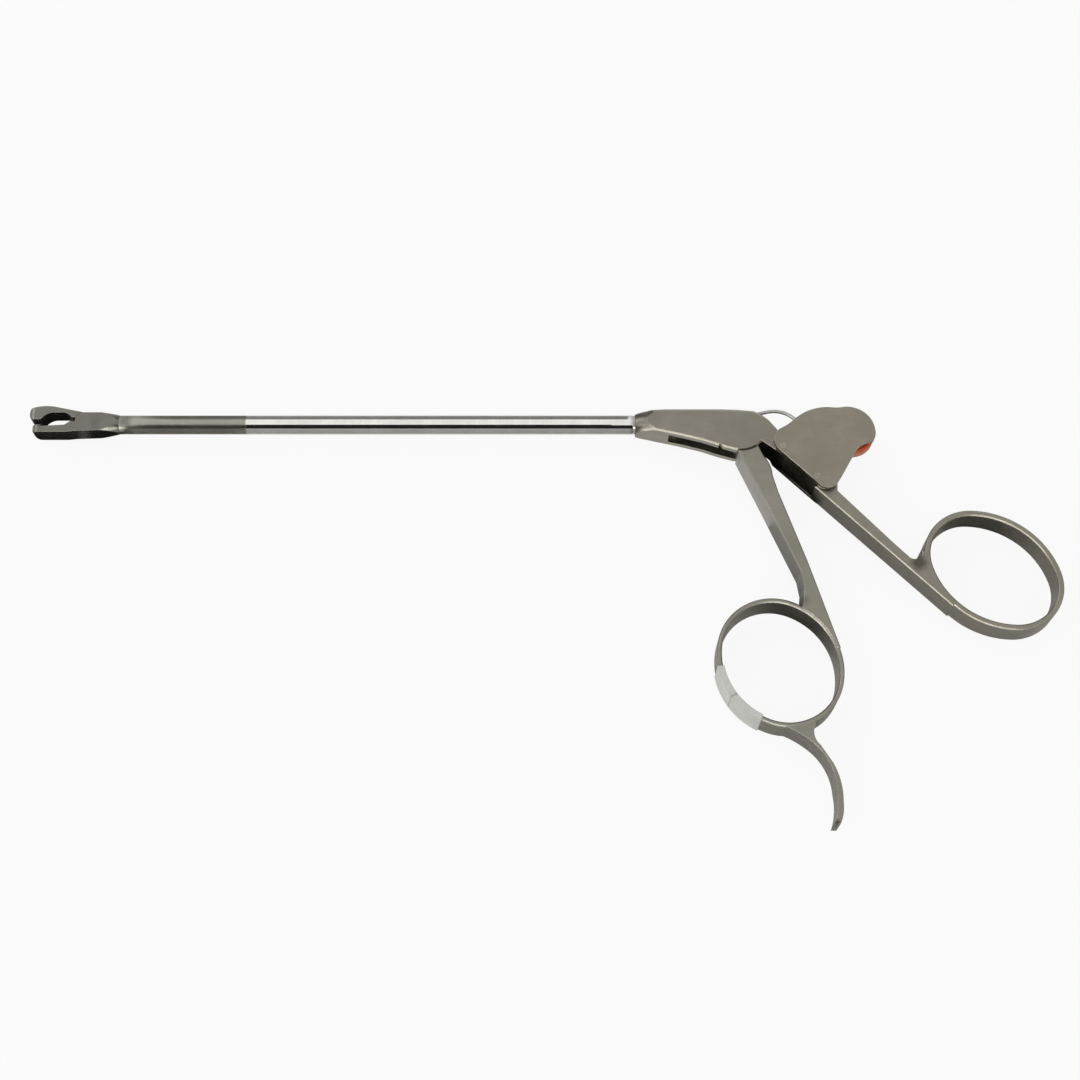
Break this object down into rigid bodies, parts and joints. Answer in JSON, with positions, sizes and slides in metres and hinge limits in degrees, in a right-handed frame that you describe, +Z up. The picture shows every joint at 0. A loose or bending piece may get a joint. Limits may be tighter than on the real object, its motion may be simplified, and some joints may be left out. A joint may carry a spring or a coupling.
{
  "type": "arthroscopic suture punch",
  "caption": "Hand-held surgical punch with ring handles, a long thin shaft, a small hinged jaw at the tip and a thumb wheel that feeds suture through it.",
  "frame": {"origin": "centre of the rear casing plate's outer face, on which the instrument lies", "axes": "+X from the jaws towards the handles along the shaft, +Y across the shaft away from the handles, +Z up, normal to the casing plates"},
  "size_m": [0.2165, 0.0912, 0.0094],
  "materials": {
    "satin_steel": "satin brushed",
    "plate_steel": "fine brushed",
    "polished_steel": "polished",
    "blasted_steel": "bead blasted, matte",
    "white_tape": "semi-matte film",
    "wheel_core": "moulded, matte",
    "orange_silicone": "soft matte silicone"
  },
  "bodies": {
    "frame": {"jaw_head": "satin_steel", "needle": "polished_steel", "distal_tube": "blasted_steel", "shaft_tube": "polished_steel", "guide_tube": "polished_steel", "frame": "satin_steel", "casing_plate_front": "plate_steel", "casing_plate_rear": "plate_steel", "casing_rivets": "plate_steel", "feed_wheel_axle": "polished_steel", "pinch_roller_axle": "polished_steel", "jaw_pivot_pin": "polished_steel", "lever_pivot_pin": "satin_steel"},
    "upper_jaw": {"upper_jaw": "satin_steel"},
    "drive_rod": {"drive_rod": "polished_steel", "jaw_drive_pin": "polished_steel", "crank_pin": "polished_steel"},
    "lever": {"lever": "satin_steel", "id_tape": "white_tape"},
    "feed_wheel": {"feed_wheel_hub": "wheel_core", "feed_wheel_tyre": "orange_silicone"},
    "pinch_roller": {"pinch_roller": "polished_steel"}
  },
  "joints": [
    {"name": "lever_pivot", "type": "hinge", "parent": "frame", "child": "lever", "pos_m": [-0.017, 0.0049, 0.0047], "axis": [0, 0, 1], "range_deg": [-16, 4]},
    {"name": "rod_slide", "type": "slide", "parent": "frame", "child": "drive_rod", "axis": [-1, 0, 0], "range_m": [-0.00049, 0.000123]},
    {"name": "jaw_pivot", "type": "hinge", "parent": "frame", "child": "upper_jaw", "pos_m": [-0.156, 0.0058, 0.0047], "axis": [0, 0, 1], "range_deg": [-24.4, 6.1]},
    {"name": "feed_wheel_spin", "type": "hinge", "parent": "frame", "child": "feed_wheel", "pos_m": [0.007, 0.0038, 0.0047], "axis": [0, 0, 1], "continuous": true},
    {"name": "pinch_roller_spin", "type": "hinge", "parent": "frame", "child": "pinch_roller", "pos_m": [0.00171, -0.00064, 0.0047], "axis": [0, 0, 1], "continuous": true}
  ],
  "couplings": [
    {"joint": "rod_slide", "follows": "lever_pivot", "m_per_rad": 0.00175},
    {"joint": "jaw_pivot", "follows": "lever_pivot", "ratio": 1.5217},
    {"joint": "pinch_roller_spin", "follows": "feed_wheel_spin", "ratio": -2.5789}
  ]
}
